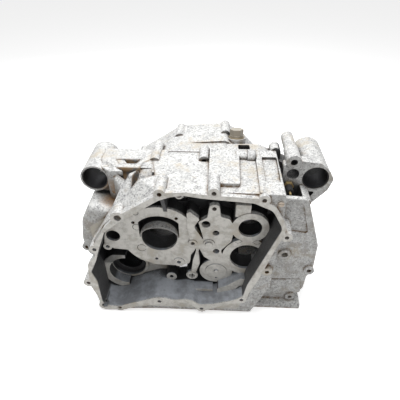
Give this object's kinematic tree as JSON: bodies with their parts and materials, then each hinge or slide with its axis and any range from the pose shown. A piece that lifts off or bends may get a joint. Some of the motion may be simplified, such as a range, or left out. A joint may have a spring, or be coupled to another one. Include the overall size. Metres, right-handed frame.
{
  "type": "engine crankcase",
  "caption": "Cast aluminium engine crankcase standing on its cylinder face, with an open clutch chamber, bearing bores, tubular mounts and a drain bolt.",
  "frame": {"origin": "on the crank axis, in the plane of the bearing wall's machined face", "axes": "+Y from the clutch cover face towards the stator side, +Z away from the cylinder face it stands on, +X towards the gearbox end"},
  "size_m": [0.3423, 0.182, 0.2471],
  "materials": {
    "front_casting": "sand cast, stained",
    "rear_casting": "sand cast, stained",
    "bolt_steel": "zinc plated",
    "dowel_steel": "ground",
    "sleeve_steel": "turned",
    "left_bush_steel": "dark, oily",
    "right_bush_steel": "dark, oily",
    "drain_steel": "weathered zinc",
    "washer_metal": "soft crush washer",
    "plug_metal": "cast",
    "screw_steel": "plated",
    "switch_brass": "tarnished",
    "switch_plastic": "moulded",
    "terminal_metal": "tarnished"
  },
  "bodies": {
    "root": {"front_case": "front_casting", "rear_case": "rear_casting", "case_bolts": "bolt_steel", "case_dowels": "dowel_steel", "oil_sleeve": "sleeve_steel", "left_mount_sleeve": "left_bush_steel", "right_mount_sleeve": "right_bush_steel", "drain_bolt": "drain_steel", "drain_washer": "washer_metal", "gallery_plug": "plug_metal", "face_screw": "screw_steel", "switch_ring": "switch_brass", "switch_body": "switch_plastic", "switch_terminal": "terminal_metal"}
  },
  "joints": []
}
